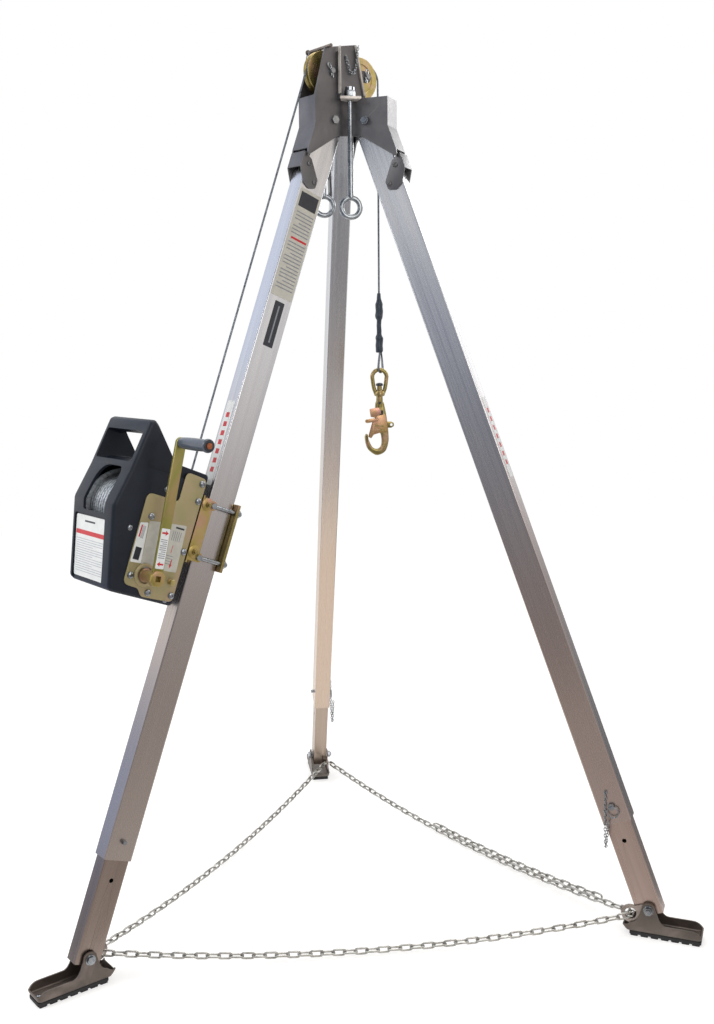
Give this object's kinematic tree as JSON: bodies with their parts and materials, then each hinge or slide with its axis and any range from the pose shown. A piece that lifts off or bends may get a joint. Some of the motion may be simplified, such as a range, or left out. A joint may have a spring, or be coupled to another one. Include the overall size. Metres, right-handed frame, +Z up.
{
  "type": "rescue tripod",
  "caption": "Confined space rescue tripod with folding telescopic legs, a head with rope sheaves and anchor eyes, a hand winch with wire rope and swivel hook, and a foot chain.",
  "frame": {"origin": "on the floor under the middle of the standing tripod's own box", "axes": "+Z up, +Y towards the rear leg, +X towards the right leg, with the winch on the left leg"},
  "size_m": [1.5864, 1.3738, 2.129],
  "materials": {
    "head_steel": "satin",
    "zinc_steel": "bright zinc",
    "yellow_zinc": "yellow zinc",
    "leg_aluminium": "brushed",
    "foot_steel": "satin",
    "sole_rubber": "moulded",
    "chain_zinc": "bright zinc",
    "wire_rope": "galvanised",
    "housing_plastic": "moulded",
    "cover_steel": "satin",
    "drum_aluminium": "cast",
    "gear_steel": "machined",
    "bolt_copper": "plated",
    "grip_plastic": "moulded",
    "sleeve_plastic": "shrunk"
  },
  "bodies": {
    "head": {"head_frame": "head_steel", "eye_bolts": "zinc_steel", "eye_nuts": "zinc_steel", "pivot_bolts": "zinc_steel", "pivot_nuts": "zinc_steel", "sheave_axles": "zinc_steel", "sheave_spacers": "zinc_steel", "keeper_pin": "zinc_steel", "rope_over_sheaves": "wire_rope", "chain_front": "chain_zinc", "chain_left": "chain_zinc", "chain_right": "chain_zinc", "chain_tail": "chain_zinc"},
    "sheave_left": {"sheave_left": "yellow_zinc"},
    "sheave_right": {"sheave_right": "yellow_zinc"},
    "left_leg": {"upper_leg_left": "leg_aluminium", "lock_bracket_left": "head_steel", "winch_housing": "housing_plastic", "gear_cover": "cover_steel", "cover_screws": "zinc_steel", "mount_bracket": "yellow_zinc", "clamp_rods": "zinc_steel", "clamp_bar": "yellow_zinc", "rope_run": "wire_rope"},
    "left_lower": {"lower_leg_left": "leg_aluminium", "foot_bolt_left": "zinc_steel", "chain_ear_left": "foot_steel"},
    "left_pin": {"leg_pin_left": "zinc_steel"},
    "left_foot": {"foot_shoe_left": "foot_steel", "foot_sole_left": "sole_rubber"},
    "right_leg": {"upper_leg_right": "leg_aluminium", "lock_bracket_right": "head_steel"},
    "right_lower": {"lower_leg_right": "leg_aluminium", "foot_bolt_right": "zinc_steel", "chain_ear_right": "foot_steel"},
    "right_pin": {"leg_pin_right": "zinc_steel"},
    "right_foot": {"foot_shoe_right": "foot_steel", "foot_sole_right": "sole_rubber"},
    "rear_leg": {"upper_leg_rear": "leg_aluminium", "lock_bracket_rear": "head_steel"},
    "rear_lower": {"lower_leg_rear": "leg_aluminium", "foot_bolt_rear": "zinc_steel", "chain_ear_rear": "foot_steel"},
    "rear_pin": {"leg_pin_rear": "zinc_steel"},
    "rear_foot": {"foot_shoe_rear": "foot_steel", "foot_sole_rear": "sole_rubber"},
    "drum": {"winch_drum": "drum_aluminium", "drum_winding": "wire_rope", "drum_gear": "gear_steel"},
    "crank": {"crank_pinion": "zinc_steel", "crank_arm": "yellow_zinc", "grip_bolt": "bolt_copper"},
    "grip": {"crank_grip": "grip_plastic"},
    "hook_line": {"rope_drop": "wire_rope", "rope_sleeve": "sleeve_plastic", "swivel_bail": "yellow_zinc"},
    "hook": {"hook_body": "yellow_zinc"},
    "gate": {"hook_gate": "yellow_zinc"},
    "lock": {"hook_lock": "yellow_zinc"}
  },
  "joints": [
    {"name": "left_fold", "type": "hinge", "parent": "head", "child": "left_leg", "pos_m": [-0.05369, -0.24374, 1.95], "axis": [0.5, -0.866, 0], "range_deg": [0, 15], "deforming": ["chain_front", "chain_left", "rope_run"]},
    {"name": "left_extend", "type": "slide", "parent": "left_leg", "child": "left_lower", "axis": [-0.3061, -0.1767, -0.9354], "range_m": [0, 0.54], "deforming": ["chain_front", "chain_left"]},
    {"name": "left_pin_pull", "type": "slide", "parent": "left_leg", "child": "left_pin", "axis": [-0.5, 0.866, 0], "range_m": [0, 0.065]},
    {"name": "left_foot_tilt", "type": "hinge", "parent": "left_lower", "child": "left_foot", "pos_m": [-0.66826, -0.59856, 0.072], "axis": [0.5, -0.866, 0], "range_deg": [-25, 12]},
    {"name": "right_fold", "type": "hinge", "parent": "head", "child": "right_leg", "pos_m": [0.05369, -0.24374, 1.95], "axis": [0.5, 0.866, 0], "range_deg": [0, 15], "deforming": ["chain_front", "chain_right", "chain_tail"]},
    {"name": "right_extend", "type": "slide", "parent": "right_leg", "child": "right_lower", "axis": [0.3061, -0.1767, -0.9354], "range_m": [0, 0.54], "deforming": ["chain_front", "chain_right", "chain_tail"]},
    {"name": "right_pin_pull", "type": "slide", "parent": "right_leg", "child": "right_pin", "axis": [-0.5, -0.866, 0], "range_m": [0, 0.065]},
    {"name": "right_foot_tilt", "type": "hinge", "parent": "right_lower", "child": "right_foot", "pos_m": [0.66826, -0.59856, 0.072], "axis": [0.5, 0.866, 0], "range_deg": [-25, 12]},
    {"name": "rear_fold", "type": "hinge", "parent": "head", "child": "rear_leg", "pos_m": [0, -0.15074, 1.95], "axis": [-1, 0, 0], "range_deg": [0, 15], "deforming": ["chain_left", "chain_right", "chain_tail"]},
    {"name": "rear_extend", "type": "slide", "parent": "rear_leg", "child": "rear_lower", "axis": [0, 0.3535, -0.9354], "range_m": [0, 0.54], "deforming": ["chain_left", "chain_right", "chain_tail"]},
    {"name": "rear_pin_pull", "type": "slide", "parent": "rear_leg", "child": "rear_pin", "axis": [1, 0, 0], "range_m": [0, 0.065]},
    {"name": "rear_foot_tilt", "type": "hinge", "parent": "rear_lower", "child": "rear_foot", "pos_m": [0, 0.5589, 0.072], "axis": [-1, 0, 0], "range_deg": [-25, 12]},
    {"name": "drum_turn", "type": "hinge", "parent": "left_leg", "child": "drum", "pos_m": [-0.49899, -0.50083, 1.05604], "axis": [-0.5, 0.866, 0], "range_deg": [-750, 270], "deforming": ["rope_run", "rope_drop"]},
    {"name": "crank_turn", "type": "hinge", "parent": "left_leg", "child": "crank", "pos_m": [-0.53039, -0.51896, 0.92704], "axis": [-0.5, 0.866, 0], "range_deg": [-635.5, 1763.5]},
    {"name": "grip_turn", "type": "hinge", "parent": "crank", "child": "grip", "pos_m": [-0.46927, -0.48368, 1.21656], "axis": [0.5, -0.866, 0], "continuous": true},
    {"name": "sheave_left_turn", "type": "hinge", "parent": "head", "child": "sheave_left", "pos_m": [-0.06062, -0.24774, 2.06], "axis": [0.5, -0.866, 0], "range_deg": [-1301, 469]},
    {"name": "sheave_right_turn", "type": "hinge", "parent": "head", "child": "sheave_right", "pos_m": [0.03291, -0.19374, 2.06], "axis": [0.5, -0.866, 0], "range_deg": [-1301, 469]},
    {"name": "hook_travel", "type": "slide", "parent": "head", "child": "hook_line", "axis": [0, 0, 1], "range_m": [-1.022, 0.3686], "deforming": ["rope_drop"]},
    {"name": "hook_swivel", "type": "hinge", "parent": "hook_line", "child": "hook", "pos_m": [0.0866, -0.16274, 1.2988], "axis": [0, 0, 1], "continuous": true},
    {"name": "gate_open", "type": "hinge", "parent": "hook", "child": "gate", "pos_m": [0.0786, -0.16274, 1.2455], "axis": [0, -1, 0], "range_deg": [0, 40], "stiffness_Nm_per_rad": 0.2, "springref_deg": -17.19},
    {"name": "lock_press", "type": "hinge", "parent": "hook", "child": "lock", "pos_m": [0.0786, -0.16274, 1.2455], "axis": [0, -1, 0], "range_deg": [0, 20], "stiffness_Nm_per_rad": 0.1, "springref_deg": -17.19}
  ],
  "couplings": [
    {"joint": "crank_turn", "follows": "drum_turn", "ratio": -2.35},
    {"joint": "sheave_left_turn", "follows": "drum_turn", "ratio": 1.7333},
    {"joint": "sheave_right_turn", "follows": "drum_turn", "ratio": 1.7333},
    {"joint": "hook_travel", "follows": "drum_turn", "m_per_rad": 0.078}
  ]
}
